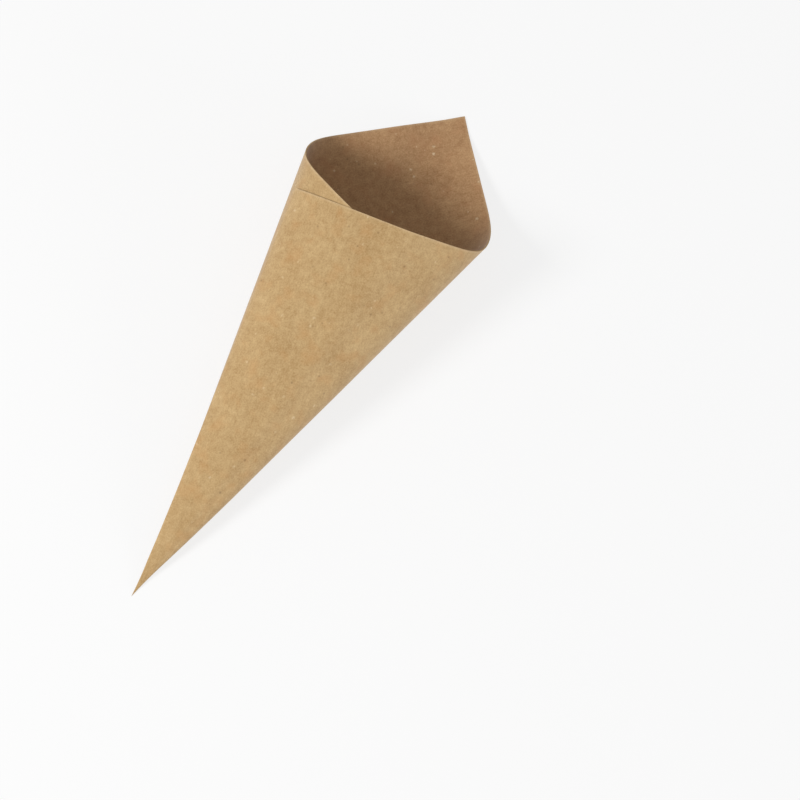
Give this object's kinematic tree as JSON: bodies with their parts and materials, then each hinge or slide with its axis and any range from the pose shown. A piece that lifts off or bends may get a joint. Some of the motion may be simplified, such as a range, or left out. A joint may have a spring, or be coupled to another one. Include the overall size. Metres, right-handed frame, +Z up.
{
  "type": "paper candy cone",
  "caption": "Slim pointed cone wound from one near-square sheet of kraft card, open at the mouth with a raised pointed back and an overlapping front flap.",
  "frame": {"origin": "on the table, under the middle of the bounding box of the resting cone", "axes": "+X from the tip to the peak of the mouth, along the strip that it rests on; +Z up from the table"},
  "size_m": [0.1844, 0.0624, 0.0408],
  "materials": {
    "kraft_card": "matte"
  },
  "bodies": {
    "root": {"paper_cone": "kraft_card"}
  },
  "joints": []
}
